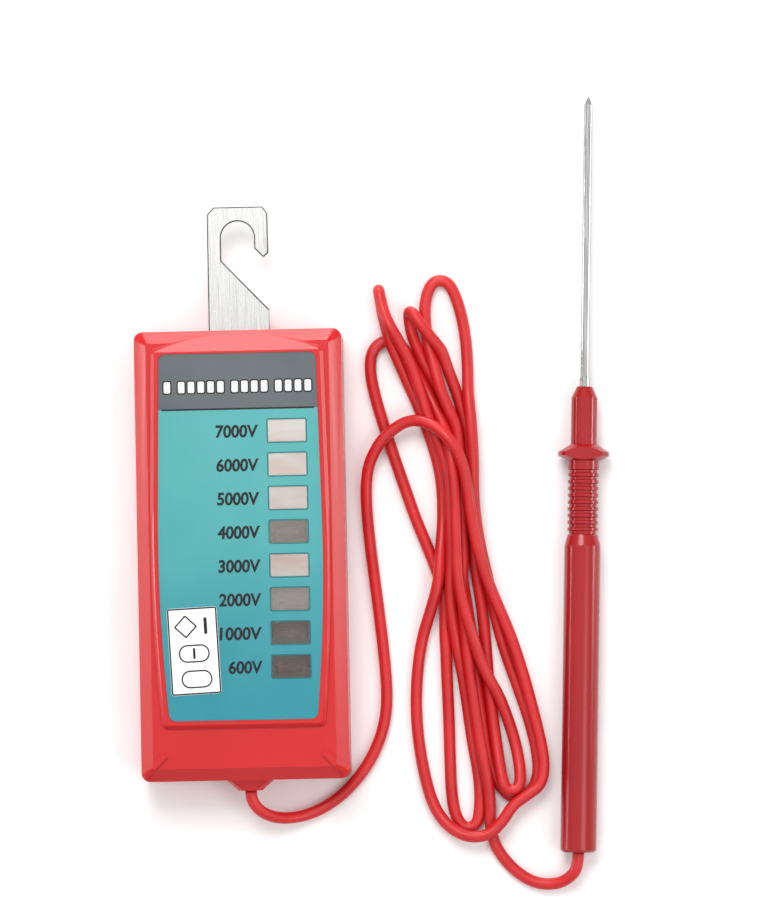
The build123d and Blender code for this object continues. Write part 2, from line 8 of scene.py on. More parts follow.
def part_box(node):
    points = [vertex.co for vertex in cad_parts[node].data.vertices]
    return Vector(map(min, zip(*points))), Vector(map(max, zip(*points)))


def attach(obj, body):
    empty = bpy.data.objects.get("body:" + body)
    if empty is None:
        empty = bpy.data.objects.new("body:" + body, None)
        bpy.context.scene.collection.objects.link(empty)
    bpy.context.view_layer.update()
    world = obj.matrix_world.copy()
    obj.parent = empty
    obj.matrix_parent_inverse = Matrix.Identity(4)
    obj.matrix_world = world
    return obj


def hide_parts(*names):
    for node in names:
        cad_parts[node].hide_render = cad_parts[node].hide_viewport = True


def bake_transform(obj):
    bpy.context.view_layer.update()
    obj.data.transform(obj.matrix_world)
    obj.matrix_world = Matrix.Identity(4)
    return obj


# Fence voltage tester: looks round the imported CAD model. Metres, in the CAD frame:
# origin at the centre of the case's back face, +X to the right, +Y towards the hook, +Z out of the face.

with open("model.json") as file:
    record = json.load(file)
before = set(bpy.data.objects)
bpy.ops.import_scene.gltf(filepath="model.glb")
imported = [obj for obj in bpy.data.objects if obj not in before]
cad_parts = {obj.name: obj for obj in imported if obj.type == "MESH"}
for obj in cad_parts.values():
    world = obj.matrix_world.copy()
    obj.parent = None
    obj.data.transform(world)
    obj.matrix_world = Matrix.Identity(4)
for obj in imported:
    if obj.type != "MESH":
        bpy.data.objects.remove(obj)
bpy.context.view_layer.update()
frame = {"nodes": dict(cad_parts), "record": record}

# Camera: far off and nearly square to the surface
CAMERA_TARGET = Vector((0.0465, 0.0353, 0.010))
CAMERA_DISTANCE = 2.0
CAMERA_RIGHT, CAMERA_LOW, CAMERA_ROLL = 1.5, 2.5, 1.167  # degrees off the surface's normal, and turn
SENSOR = 36.0  # mm, along the frame's long side
FRAME_HEIGHT = 897 / 2956  # metres that the frame's long side covers at the target

# Light: name, place, size, power
SURROUND = 0.90
HORIZON = (0.20, 0.20, 0.21)
LAMPS = (
    ("key_light", (-0.12, 0.78, 1.36), 0.8, 11.0),
    ("fill_light", (0.80, -0.40, 1.20), 0.8, 4.0),
    ("top_strip", (0.0, 1.30, 0.22), 0.35, 7.0),
    ("left_strip", (-1.20, 0.10, 0.22), 0.30, 3.5),
    ("right_strip", (1.30, 0.10, 0.22), 0.30, 2.4),
)

# How milky each window is, from the top one down: the rest of it is clear
WINDOW_FROST = (0.90, 0.88, 0.80, 0.24, 0.72, 0.30, 0.09, 0.07)

# Lead
LEAD_RADIUS = 0.002
LEAD_SIDES = 16
RING_STEP = 0.0009
SPLINE_STEPS = 20
# How often strands are moved apart, and the share of the overlap each time
EASE_ROUNDS, EASE_SHARE = 60, 0.22
# Rings held back at each end, and rings too near to count as another strand
HELD_RINGS, NEAR_RINGS = 36, 12
LEAD_ROUTE = [
    # out of the case, down to the surface and up beside it (as in the CAD)
    (0.0012, -0.0793, 0.012), (0.0012, -0.0822, 0.012), (0.0036, -0.086, 0.0106),
    (0.008, -0.0885, 0.0076), (0.0136, -0.0891, 0.0046), (0.0202, -0.088, 0.0026),
    (0.0272, -0.0848, 0.002), (0.034, -0.0795, 0.002), (0.0404, -0.0719, 0.002), (0.0451, -0.0626, 0.002),
    (0.0475, -0.0524, 0.002), (0.0473, -0.04, 0.002), (0.0455, -0.021, 0.002), (0.0433, -0.002, 0.002),
    (0.0417, 0.015, 0.0022),
    (0.042, 0.0276, 0.0038), (0.0452, 0.0354, 0.0056), (0.05, 0.041, 0.006),
    # over the arch and into the waist
    (0.0572, 0.0452, 0.007), (0.0644, 0.0436, 0.0095), (0.0702, 0.0386, 0.012), (0.0744, 0.0315, 0.011),
    (0.0764, 0.021, 0.0092), (0.0778, 0.008, 0.0092),
    # widest lower loop
    (0.0806, -0.005, 0.0085), (0.0846, -0.016, 0.0068), (0.0896, -0.028, 0.006), (0.0936, -0.041, 0.006),
    (0.0966, -0.053, 0.006), (0.0992, -0.0645, 0.006), (0.1004, -0.0728, 0.0058), (0.099, -0.0796, 0.006),
    (0.0936, -0.0829, 0.0062), (0.0892, -0.086, 0.0062), (0.0858, -0.0916, 0.0062),
    (0.0808, -0.0962, 0.0062), (0.0742, -0.0968, 0.0062), (0.0674, -0.0932, 0.005),
    (0.0622, -0.0856, 0.003), (0.0592, -0.0735, 0.002), (0.0574, -0.06, 0.002), (0.0573, -0.046, 0.002),
    (0.0592, -0.031, 0.0022), (0.0628, -0.02, 0.0044), (0.0664, -0.0095, 0.0064),
    # up the left of the waist
    (0.0678, 0.002, 0.0042), (0.068, 0.014, 0.0022), (0.0674, 0.027, 0.002), (0.065, 0.0385, 0.002),
    # slender upper loop
    (0.0612, 0.0475, 0.002), (0.0568, 0.0576, 0.002), (0.0536, 0.0656, 0.0048), (0.0514, 0.0716, 0.0062),
    (0.0498, 0.0768, 0.0056), (0.0488, 0.081, 0.003), (0.0481, 0.085, 0.002), (0.0477, 0.088, 0.002),
    (0.0475, 0.0893, 0.0034), (0.0475, 0.0893, 0.0053), (0.0477, 0.088, 0.0066), (0.0487, 0.083, 0.0072),
    (0.0506, 0.0774, 0.0092),
    (0.0536, 0.072, 0.0088), (0.0572, 0.065, 0.0064), (0.0609, 0.056, 0.0048), (0.0644, 0.0472, 0.0047),
    # down the waist
    (0.0676, 0.0374, 0.005), (0.0696, 0.027, 0.0054), (0.07, 0.014, 0.0055), (0.0698, 0, 0.0056),
    (0.0696, -0.012, 0.0058),
    # narrow lower loop
    (0.0706, -0.023, 0.005), (0.0724, -0.035, 0.003), (0.0745, -0.049, 0.002), (0.0763, -0.063, 0.002),
    (0.0786, -0.076, 0.002), (0.0796, -0.085, 0.002), (0.078, -0.0922, 0.002), (0.0736, -0.0942, 0.002),
    (0.0699, -0.09, 0.002), (0.0686, -0.0815, 0.002), (0.0684, -0.07, 0.002), (0.0683, -0.056, 0.002),
    (0.0679, -0.042, 0.002), (0.0681, -0.028, 0.002), (0.068, -0.017, 0.002),
    # leaning upper arch
    (0.0656, -0.0065, 0.002), (0.0622, 0.002, 0.002), (0.0586, 0.011, 0.002), (0.055, 0.022, 0.002),
    (0.0516, 0.0325, 0.002), (0.0482, 0.0435, 0.002), (0.0454, 0.0536, 0.002), (0.0438, 0.0624, 0.002),
    (0.0448, 0.0696, 0.002), (0.0502, 0.073, 0.002), (0.0568, 0.0706, 0.002), (0.061, 0.0638, 0.002),
    (0.0638, 0.0566, 0.002), (0.0668, 0.0486, 0.0034),
    # down on top of the waist
    (0.0694, 0.0398, 0.006), (0.0714, 0.0295, 0.0084), (0.0721, 0.016, 0.009), (0.0721, 0.002, 0.009),
    (0.0726, -0.01, 0.009),
    # small lower loop
    (0.0746, -0.022, 0.0088), (0.078, -0.0336, 0.0076), (0.0818, -0.043, 0.0062),
    (0.0856, -0.0502, 0.0038), (0.0886, -0.058, 0.0024), (0.091, -0.0665, 0.003), (0.0922, -0.075, 0.005),
    (0.0919, -0.0795, 0.0057), (0.0902, -0.0812, 0.0058), (0.0879, -0.0812, 0.0058),
    (0.086, -0.0793, 0.0056), (0.0841, -0.071, 0.0036),
    (0.0829, -0.062, 0.0024), (0.0822, -0.05, 0.002), (0.0816, -0.037, 0.002), (0.081, -0.025, 0.002),
    (0.0806, -0.014, 0.002),
    # up the right of the waist
    (0.0788, -0.003, 0.002), (0.077, 0.009, 0.002), (0.0764, 0.021, 0.002), (0.0769, 0.032, 0.002),
    # tight upper loop
    (0.0764, 0.043, 0.002), (0.074, 0.0528, 0.002), (0.0702, 0.0618, 0.0026), (0.066, 0.0698, 0.0052),
    (0.0628, 0.0752, 0.0072), (0.0608, 0.0782, 0.0074), (0.0594, 0.0806, 0.007), (0.0581, 0.0818, 0.0055),
    (0.0575, 0.0814, 0.0036), (0.0576, 0.0792, 0.0023), (0.0582, 0.0742, 0.0022),
    (0.0606, 0.067, 0.0024), (0.064, 0.06, 0.0024), (0.0673, 0.0526, 0.0022), (0.0702, 0.044, 0.002),
    # down under the waist
    (0.0718, 0.034, 0.002), (0.0722, 0.022, 0.002), (0.0722, 0.008, 0.002), (0.0732, -0.005, 0.002),
    # second lower loop
    (0.0752, -0.02, 0.002), (0.077, -0.034, 0.002), (0.0784, -0.047, 0.002), (0.0798, -0.059, 0.002),
    (0.0816, -0.0695, 0.002), (0.0844, -0.0784, 0.002), (0.0894, -0.0844, 0.002), (0.0954, -0.0822, 0.002),
    (0.0984, -0.076, 0.002), (0.0978, -0.067, 0.002), (0.0954, -0.057, 0.002), (0.0922, -0.047, 0.002),
    (0.0882, -0.0356, 0.002), (0.0846, -0.023, 0.002), (0.0814, -0.01, 0.003),
    # up the right of the waist
    (0.0792, 0.004, 0.005), (0.0781, 0.018, 0.0055), (0.0785, 0.031, 0.0058),
    # tallest upper loop
    (0.078, 0.0425, 0.006), (0.0768, 0.053, 0.0036), (0.0772, 0.064, 0.002), (0.0764, 0.0756, 0.002),
    (0.074, 0.086, 0.002), (0.071, 0.0922, 0.002), (0.0659, 0.0924, 0.002), (0.063, 0.086, 0.002),
    (0.0629, 0.077, 0.002), (0.064, 0.0676, 0.0032), (0.0666, 0.0574, 0.0052), (0.0698, 0.047, 0.0054),
    # down the waist
    (0.0724, 0.037, 0.0054), (0.074, 0.025, 0.0055), (0.0742, 0.012, 0.0055), (0.0739, -0.001, 0.0058),
    (0.0734, -0.013, 0.0058),
    # under the lower loops
    (0.074, -0.026, 0.0055), (0.0754, -0.04, 0.0054), (0.0773, -0.054, 0.0054), (0.0793, -0.068, 0.0052),
    (0.0807, -0.0796, 0.004), (0.0806, -0.0896, 0.0024),
    # up into the probe (as in the CAD)
    (0.082, -0.0974, 0.002), (0.085, -0.103, 0.002), (0.09, -0.1088, 0.002), (0.0966, -0.1128, 0.002),
    (0.1034, -0.1132, 0.003), (0.1084, -0.1108, 0.005), (0.1109, -0.1072, 0.0061),
    (0.1111, -0.1024, 0.0061),
]

# Ink on the face, and the painted shade round the windows, metres
INK = 0.00003
FIGURES = ("7000V", "6000V", "5000V", "4000V", "3000V", "2000V", "1000V", "600V")
FIGURE_HEIGHT, FIGURE_WIDTH = 0.0044, 0.0143
FIGURE_GAP = 0.0023  # from the figures to the window beside them
HEADER_DEPTH = 0.0187  # dark band across the top of the label
BLOCK_GROUPS = (1, 5, 4, 4)
BLOCK_PITCH, BLOCK_W, BLOCK_H, BLOCK_R = 0.0033, 0.0022, 0.0038, 0.0005
BLOCK_RIM, BLOCK_RIM_R = 0.00045, 0.0008
BLOCKS_DOWN = 0.0112  # from the label's top edge to the blocks' middle
GROUP_GAP = 0.45  # of the pitch
RULE_SHARE, RULE_H = 0.93, 0.0006  # share of the label's width, and height
# the dark line round each window is painted shade, for the shadow at the lens's edge; its opening, width
# and corners
WINDOW_OPENING = (0.0131, 0.0078)
RIM_WIDTH, RIM_R, OPENING_R = 0.00022, 0.0008, 0.0005
STICKER_TILT = 2.5  # degrees
STICKER_FRAME = (0.0166, 0.0290)
DIAMOND = (0.0056, 0.0056)
FLAT_RING = (0.0104, 0.0060)
PEN = 0.0005  # width of the lines on the sticker

# Electrodes, metres
ELECTRODE_LENGTH, ELECTRODE_R, ELECTRODE_TIP_R = 0.0066, 0.00045, 0.0004
ELECTRODE_BACK, ELECTRODE_APART, ELECTRODE_UP = 0.0006, 0.0008, 0.0002

# Edges: metres and degrees
WELD_GAP = 0.000002
COVER_EDGE, HOOK_EDGE = 0.0003, 0.0004
EDGE_ANGLE, FLAT_ANGLE = 28.0, 1.0

FLOOR_HALF = 3.0


# ---------------------------------------------------------------- camera, light and surface

def aim(camera, back, target, distance, roll):
    """Points a camera at target from along back, with its up direction turned by roll."""
    up = Vector((math.sin(roll), math.cos(roll), 0.0))
    up = (up - back * up.dot(back)).normalized()
    axes = Matrix((up.cross(back), up, back)).transposed()
    camera.matrix_world = Matrix.Translation(target + back * distance) @ axes.to_4x4()


def add_camera():
    right, low = math.radians(CAMERA_RIGHT), math.radians(CAMERA_LOW)
    back = Vector((math.sin(right) * math.cos(low), -math.sin(low), math.cos(right) * math.cos(low)))
    data = bpy.data.cameras.new("camera")
    data.sensor_width = SENSOR
    data.lens = SENSOR * CAMERA_DISTANCE / FRAME_HEIGHT
    camera = bpy.data.objects.new("camera", data)
    bpy.context.collection.objects.link(camera)
    aim(camera, back, CAMERA_TARGET, CAMERA_DISTANCE, math.radians(CAMERA_ROLL))
    bpy.context.scene.camera = camera


def add_light(name, place, size, power, target=CAMERA_TARGET):
    data = bpy.data.lights.new(name, "AREA")
    data.shape = "DISK"
    data.size = size
    data.energy = power
    lamp = bpy.data.objects.new(name, data)
    bpy.context.collection.objects.link(lamp)
    lamp.location = place
    lamp.rotation_euler = (Vector(place) - target).to_track_quat("Z", "Y").to_euler()


def add_surround():
    """White surround, brightest overhead and dim at the horizon, which edges and round sides mirror."""
    world = bpy.data.worlds.new("surround")
    world.use_nodes = True
    tree = world.node_tree
    direction = tree.nodes.new("ShaderNodeTexCoord")
    parts = tree.nodes.new("ShaderNodeSeparateXYZ")
    ramp = tree.nodes.new("ShaderNodeValToRGB")
    steps = ramp.color_ramp.elements
    steps[0].position, steps[0].color = 0.0, (*HORIZON, 1.0)
    steps[1].position, steps[1].color = 0.8, (1.0, 1.0, 1.0, 1.0)
    tree.links.new(direction.outputs["Generated"], parts.inputs["Vector"])
    tree.links.new(parts.outputs["Z"], ramp.inputs["Fac"])
    tree.links.new(ramp.outputs["Color"], tree.nodes["Background"].inputs["Color"])
    tree.nodes["Background"].inputs["Strength"].default_value = SURROUND
    bpy.context.scene.world = world


def add_studio():
    """Pale surface under the object, soft lamps and an even white surround."""
    add_surround()
    bpy.context.scene.view_settings.view_transform = "Standard"
    for name, place, size, power in LAMPS:
        add_light(name, place, size, power)
    mesh = bpy.data.meshes.new("floor")
    half = FLOOR_HALF
    corners = [(-half, -half, 0.0), (half, -half, 0.0), (half, half, 0.0), (-half, half, 0.0)]
    mesh.from_pydata(corners, [], [(0, 1, 2, 3)])
    floor = bpy.data.objects.new("floor", mesh)
    bpy.context.collection.objects.link(floor)
    paper = Finish("floor_paper", roughness=0.9)
    paper.mottle((0.90, 0.90, 0.90), (0.93, 0.93, 0.93), scale=14.0)
    paper.grain(scale=900.0, depth=0.00002)
    mesh.materials.append(paper.material)


# ---------------------------------------------------------------- materials

class Finish:
    """A node material in object coordinates: colour, roughness and bump are added to one shader."""

    def __init__(self, name, roughness=0.5, metallic=0.0, **sockets):
        self.material = bpy.data.materials.new(name)
        self.material.use_nodes = True
        self.tree = self.material.node_tree
        self.shader = self.tree.nodes["Principled BSDF"]
        self.shader.inputs["Roughness"].default_value = roughness
        self.shader.inputs["Metallic"].default_value = metallic
        for socket, value in sockets.items():
            self.shader.inputs[socket.replace("_", " ")].default_value = value
        self.place = self.node("ShaderNodeTexCoord").outputs["Object"]
        self.normal = None

    def node(self, kind, **settings):
        made = self.tree.nodes.new(kind)
        for name, value in settings.items():
            setattr(made, name, value)
        return made

    def link(self, source, target):
        self.tree.links.new(source, target)

    def noise(self, scale, detail=3.0, roughness=0.55, stretch=(1.0, 1.0, 1.0), turn=0.0):
        """Noise from 0 to 1, with cells drawn out along an axis by a small stretch factor."""
        mapping = self.node("ShaderNodeMapping")
        mapping.inputs["Scale"].default_value = stretch
        mapping.inputs["Rotation"].default_value = (0.0, 0.0, turn)
        self.link(self.place, mapping.inputs["Vector"])
        noise = self.node("ShaderNodeTexNoise")
        noise.inputs["Scale"].default_value = scale
        noise.inputs["Detail"].default_value = detail
        noise.inputs["Roughness"].default_value = roughness
        self.link(mapping.outputs["Vector"], noise.inputs["Vector"])
        return noise.outputs["Fac"]

    def spread(self, value, low, high, to_low=0.0, to_high=1.0):
        """Eases a value from low..high into another range, and clamps it."""
        scaled = self.node("ShaderNodeMapRange", interpolation_type="SMOOTHSTEP")
        scaled.inputs["From Min"].default_value = low
        scaled.inputs["From Max"].default_value = high
        scaled.inputs["To Min"].default_value = to_low
        scaled.inputs["To Max"].default_value = to_high
        self.link(value, scaled.inputs["Value"])
        return scaled.outputs["Result"]

    def blend_colours(self, factor, first, second):
        """First colour at 0 and second at 1; each is a colour or a node's output."""
        mix = self.node("ShaderNodeMix", data_type="RGBA")
        self.link(factor, mix.inputs["Factor"])
        for socket, colour in ((mix.inputs[6], first), (mix.inputs[7], second)):
            if isinstance(colour, tuple):
                socket.default_value = (*colour, 1.0)
            else:
                self.link(colour, socket)
        return mix.outputs[2]

    def colour(self, output):
        self.link(output, self.shader.inputs["Base Color"])

    def mottle(self, first, second, scale, **noise):
        """Base colour that wanders between two close shades."""
        self.colour(self.blend_colours(self.spread(self.noise(scale, **noise), 0.3, 0.7), first, second))

    def along(self, axis):
        """The object coordinate along X, Y or Z."""
        parts = self.node("ShaderNodeSeparateXYZ")
        self.link(self.place, parts.inputs["Vector"])
        return parts.outputs[axis]

    def sheen_wander(self, low, high, scale, **noise):
        """Roughness that varies over the surface."""
        output = self.spread(self.noise(scale, **noise), 0.3, 0.7, low, high)
        self.link(output, self.shader.inputs["Roughness"])

    def relief(self, height, depth):
        """Bump of a real depth in metres, on top of any earlier one."""
        bump = self.node("ShaderNodeBump")
        bump.inputs["Distance"].default_value = depth
        bump.inputs["Strength"].default_value = 1.0
        self.link(height, bump.inputs["Height"])
        if self.normal is not None:
            self.link(self.normal, bump.inputs["Normal"])
        self.normal = bump.outputs["Normal"]
        self.link(self.normal, self.shader.inputs["Normal"])

    def grain(self, scale, depth, **noise):
        self.relief(self.noise(scale, **noise), depth)


def moulded_plastic(name, shade, light_shade, roughness, texture_depth):
    """Injection-moulded ABS: fine spark-eroded texture and faint flow marks."""
    finish = Finish(name, roughness=roughness)
    finish.shader.inputs["IOR"].default_value = 1.5
    flow = finish.spread(finish.noise(16.0, detail=2.0, stretch=(1.0, 0.5, 1.0)), 0.25, 0.75)
    finish.colour(finish.blend_colours(flow, shade, light_shade))
    finish.grain(2600.0, texture_depth, detail=2.0)
    return finish.material


def label_print():
    """Polyester label: cyan that deepens towards its lower end, with a grey band across the top."""
    low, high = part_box("face_label")
    band_y = high[1] - HEADER_DEPTH
    finish = Finish("label_print", Coat_Weight=0.35, Coat_Roughness=0.18)
    y = finish.along("Y")
    drift = finish.spread(finish.noise(24.0, detail=2.0), 0.3, 0.7)
    lower = finish.blend_colours(drift, (0.001, 0.212, 0.270), (0.004, 0.232, 0.290))
    upper = finish.blend_colours(drift, (0.045, 0.322, 0.322), (0.062, 0.348, 0.352))
    cyan = finish.blend_colours(finish.spread(y, low[1], (low[1] + band_y * 3) / 4), lower, upper)
    grey = finish.blend_colours(drift, (0.052, 0.070, 0.080), (0.085, 0.103, 0.110))
    band = finish.node("ShaderNodeMath", operation="GREATER_THAN")
    finish.link(y, band.inputs[0])
    band.inputs[1].default_value = band_y
    finish.colour(finish.blend_colours(band.outputs["Value"], cyan, grey))
    finish.sheen_wander(0.30, 0.42, 80.0)
    finish.grain(3200.0, 0.000006, detail=2.0)
    finish.grain(90.0, 0.00002, detail=1.0)
    return finish.material


def sticker_paper():
    finish = Finish("sticker_paper")
    finish.mottle((0.80, 0.80, 0.79), (0.90, 0.90, 0.90), 260.0, detail=5.0)
    finish.sheen_wander(0.35, 0.5, 150.0)
    finish.grain(4200.0, 0.000008, detail=3.0)
    return finish.material


def printing_ink(name, shade, light_shade):
    finish = Finish(name, Specular_IOR_Level=0.2)
    finish.mottle(shade, light_shade, 1500.0, detail=4.0)
    finish.sheen_wander(0.42, 0.58, 700.0)
    finish.grain(6000.0, 0.000004)
    return finish.material


def window_plastic(name, frost):
    """Acrylic window, milky by its frost, that lets the lamp behind it show."""
    finish = Finish(name, Transmission_Weight=1.0 - frost)
    finish.shader.inputs["IOR"].default_value = 1.49
    finish.mottle((0.56, 0.45, 0.40), (0.60, 0.58, 0.54), 150.0, detail=2.0, stretch=(0.35, 1.0, 1.0))
    finish.sheen_wander(0.03, 0.08, 400.0)
    finish.grain(900.0, 0.00002, detail=1.0)
    return finish.material


def lamp_glass():
    finish = Finish("lamp_glass", Transmission_Weight=0.92)
    finish.shader.inputs["IOR"].default_value = 1.46
    finish.mottle((0.95, 0.90, 0.86), (1.0, 0.97, 0.95), 300.0)
    finish.sheen_wander(0.04, 0.09, 300.0)
    finish.grain(700.0, 0.00002, detail=1.0)
    return finish.material


def plain_plastic(name, shade, light_shade, roughness):
    finish = Finish(name)
    finish.mottle(shade, light_shade, 90.0, detail=4.0)
    finish.sheen_wander(roughness - 0.05, roughness + 0.08, 140.0)
    finish.grain(1800.0, 0.00001)
    return finish.material


def brushed_steel(name, shade, light_shade, roughness, stretch):
    """Stainless steel with fine marks drawn out along one axis."""
    finish = Finish(name, metallic=1.0)
    marks = finish.noise(5200.0, detail=3.0, stretch=stretch)
    finish.colour(finish.blend_colours(finish.spread(marks, 0.25, 0.75), shade, light_shade))
    sheen = finish.spread(marks, 0.2, 0.8, roughness - 0.04, roughness + 0.08)
    finish.link(sheen, finish.shader.inputs["Roughness"])
    finish.relief(marks, 0.000002)
    finish.grain(110.0, 0.00002, detail=2.0)
    return finish.material


def painted_shade_edge():
    """Rounded edge of the hook plate, duller and darker than its rolled faces: painted shade that draws a
    dark outline round the plate.
    """
    finish = Finish("painted_shade_edge", metallic=1.0)
    # painted shade: near-black metal colour on the plate's rounded edges
    finish.mottle((0.05, 0.05, 0.052), (0.11, 0.11, 0.114), 1800.0, detail=3.0, stretch=(1.0, 1.0, 0.1))
    finish.sheen_wander(0.42, 0.6, 900.0)
    finish.grain(2600.0, 0.00002, stretch=(1.0, 1.0, 0.1))
    return finish.material


def circuit_board():
    finish = Finish("board")
    finish.mottle((0.015, 0.12, 0.045), (0.03, 0.20, 0.075), 160.0, detail=4.0)
    finish.sheen_wander(0.3, 0.45, 200.0)
    finish.grain(900.0, 0.00003, stretch=(1.0, 0.2, 1.0))
    return finish.material


def lead_jacket():
    """Soft PVC jacket with a satin face and the odd scuff."""
    finish = Finish("lead_jacket")
    wander = finish.spread(finish.noise(55.0, detail=3.0), 0.3, 0.7)
    body = finish.blend_colours(wander, (0.50, 0.007, 0.009), (0.60, 0.014, 0.016))
    scuff = finish.spread(finish.noise(900.0, detail=3.0), 0.66, 0.78)
    finish.colour(finish.blend_colours(scuff, body, (0.66, 0.06, 0.06)))
    finish.sheen_wander(0.34, 0.50, 120.0)
    finish.grain(1800.0, 0.000015, detail=2.0)
    return finish.material


# Two shades, roughness and depth of the mould's texture
MOULDED = {
    "case_plastic": ((0.52, 0.005, 0.006), (0.575, 0.009, 0.011), 0.27, 0.000008),
    "probe_plastic": ((0.29, 0.002, 0.004), (0.36, 0.006, 0.008), 0.22, 0.000005),
}
# Two shades and roughness
PLAIN = {
    "white_plastic": ((0.70, 0.69, 0.66), (0.80, 0.79, 0.76), 0.45),
    "black_plastic": ((0.012, 0.012, 0.013), (0.03, 0.03, 0.032), 0.45),
    "resistor_coating": ((0.30, 0.20, 0.10), (0.42, 0.30, 0.17), 0.5),
    "wire_insulation": ((0.55, 0.03, 0.03), (0.64, 0.05, 0.05), 0.42),
}
# Two shades, roughness and how the brush marks are drawn out along each axis
METALS = {
    "tinned_wire": ((0.62, 0.62, 0.60), (0.76, 0.76, 0.74), 0.3, (1.0, 0.1, 1.0)),
    "hook_steel": ((0.53, 0.53, 0.52), (0.59, 0.59, 0.58), 0.26, (1.0, 0.012, 1.0)),
    "screw_steel": ((0.45, 0.45, 0.45), (0.62, 0.62, 0.61), 0.3, (0.4, 0.4, 1.0)),
    "copper_core": ((0.75, 0.34, 0.20), (0.88, 0.46, 0.30), 0.3, (1.0, 0.1, 1.0)),
    "probe_steel": ((0.36, 0.36, 0.36), (0.58, 0.58, 0.57), 0.20, (1.0, 0.01, 1.0)),
    "brass": ((0.66, 0.47, 0.20), (0.80, 0.60, 0.30), 0.3, (1.0, 0.2, 1.0)),
}


def add_materials():
    """Material of each of the record's slots, laid on every CAD node of that slot."""
    made = {
        "label_film": label_print(),
        "sticker_film": sticker_paper(),
        "window_lens": window_plastic("window_plastic", WINDOW_FROST[0]),
        "lamp_glass": lamp_glass(),
        "board": circuit_board(),
        "lead_jacket": lead_jacket(),
    }
    for looks, maker in ((MOULDED, moulded_plastic), (PLAIN, plain_plastic), (METALS, brushed_steel)):
        for name, look in looks.items():
            made[name] = maker(name, *look)
    for subpart in frame["record"]["subparts"]:
        target = frame["nodes"][subpart["node"]]
        target.data.materials.clear()
        target.data.materials.append(made[subpart["material_slot"]])
    for number, frost in enumerate(WINDOW_FROST[1:], start=2):
        lens = window_plastic(f"window_plastic_{number}", frost)
        frame["nodes"][f"window_lens_{number}"].data.materials[0] = lens
    return made


# ---------------------------------------------------------------- lead

def route_line(name, route):
    """Points along the NURBS spline that has the route as its control points."""
    curve = bpy.data.curves.new(name, "CURVE")
    curve.dimensions = "3D"
    curve.resolution_u = SPLINE_STEPS
    spline = curve.splines.new("NURBS")
    spline.points.add(len(route) - 1)
    for point, place in zip(spline.points, route):
        point.co = (*place, 1.0)
    spline.order_u = 3
    spline.use_endpoint_u = True
    carrier = bpy.data.objects.new(name, curve)
    read = bpy.data.meshes.new_from_object(carrier)
    points = [vertex.co.copy() for vertex in read.vertices]
    bpy.data.objects.remove(carrier)
    bpy.data.curves.remove(curve)
    bpy.data.meshes.remove(read)
    return points


def even_steps(points, step):
    """Points a fixed step apart along a line of points."""
    kept = [points[0]]
    for point in points[1:-1]:
        if (point - kept[-1]).length >= step:
            kept.append(point)
    if (points[-1] - kept[-1]).length < step * 0.5:
        kept.pop()
    return kept + [points[-1]]


def settle(points, radius):
    """Strands that press into each other are eased apart; the surface holds them, and the ends stay."""
    shift = [Vector() for _ in points]
    for _ in range(EASE_ROUNDS):
        places = [point + move for point, move in zip(points, shift)]
        tree = kdtree.KDTree(len(places))
        for index, place in enumerate(places):
            tree.insert(place, index)
        tree.balance()
        for index, place in enumerate(places):
            push = Vector()
            for other, at, gap in tree.find_range(place, radius * 2):
                if abs(at - index) > NEAR_RINGS and gap > 1e-6:
                    push += (place - other) * ((radius * 2 - gap) / gap * EASE_SHARE)
            shift[index] = shift[index] + push
        eased = [(shift[i - 1] + shift[i] * 2 + shift[i + 1]) / 4 for i in range(1, len(shift) - 1)]
        shift = [Vector()] + eased + [Vector()]
        for index, point in enumerate(points):
            hold = min(1.0, index / HELD_RINGS, (len(points) - 1 - index) / HELD_RINGS)
            shift[index] *= 1.0 if hold >= 1.0 else hold ** 0.5
            shift[index].z = max(shift[index].z, radius - point.z)
    return [point + move for point, move in zip(points, shift)]


def tube(name, path, radius, sides):
    """Closed tube round a path, its rings carried along without twist."""
    mesh = bpy.data.meshes.new(name)
    rings = []
    build = bmesh.new()
    side = Vector((0.0, 0.0, 1.0))
    for index, centre in enumerate(path):
        ahead = path[min(index + 1, len(path) - 1)] - path[max(index - 1, 0)]
        ahead.normalize()
        side = (side - ahead * side.dot(ahead)).normalized()
        across = ahead.cross(side)
        ring = []
        for step in range(sides):
            turn = math.tau * step / sides
            out = side * math.cos(turn) + across * math.sin(turn)
            ring.append(build.verts.new(centre + out * radius))
        rings.append(ring)
    for first, second in zip(rings, rings[1:]):
        for step in range(sides):
            after = (step + 1) % sides
            build.faces.new((first[step], first[after], second[after], second[step]))
    build.faces.new(list(reversed(rings[0])))
    build.faces.new(rings[-1])
    bmesh.ops.recalc_face_normals(build, faces=build.faces)
    build.to_mesh(mesh)
    build.free()
    for face in mesh.polygons:
        face.use_smooth = len(face.vertices) == 4
    made = bpy.data.objects.new(name, mesh)
    bpy.context.collection.objects.link(made)
    return made


def add_lead(jacket):
    """Lead from the case's nozzle, through the hank, into the probe's end cap."""
    line = even_steps(route_line("lead_route", LEAD_ROUTE), RING_STEP)
    path = settle(line, LEAD_RADIUS)
    lead = tube("test_lead", path, LEAD_RADIUS, LEAD_SIDES)
    lead.data.materials.append(jacket)
    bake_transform(lead)
    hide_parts("lead_from_case", "lead_hank", "lead_to_probe")


# ---------------------------------------------------------------- printing on the face, and painted shade round the windows

def add_mesh(name, build, material, body):
    """Makes a piece of a bmesh, with its material and its body."""
    mesh = bpy.data.meshes.new(name)
    bmesh.ops.recalc_face_normals(build, faces=build.faces)
    build.to_mesh(mesh)
    build.free()
    mesh.materials.append(material)
    made = bpy.data.objects.new(name, mesh)
    bpy.context.collection.objects.link(made)
    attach(made, body)
    return made


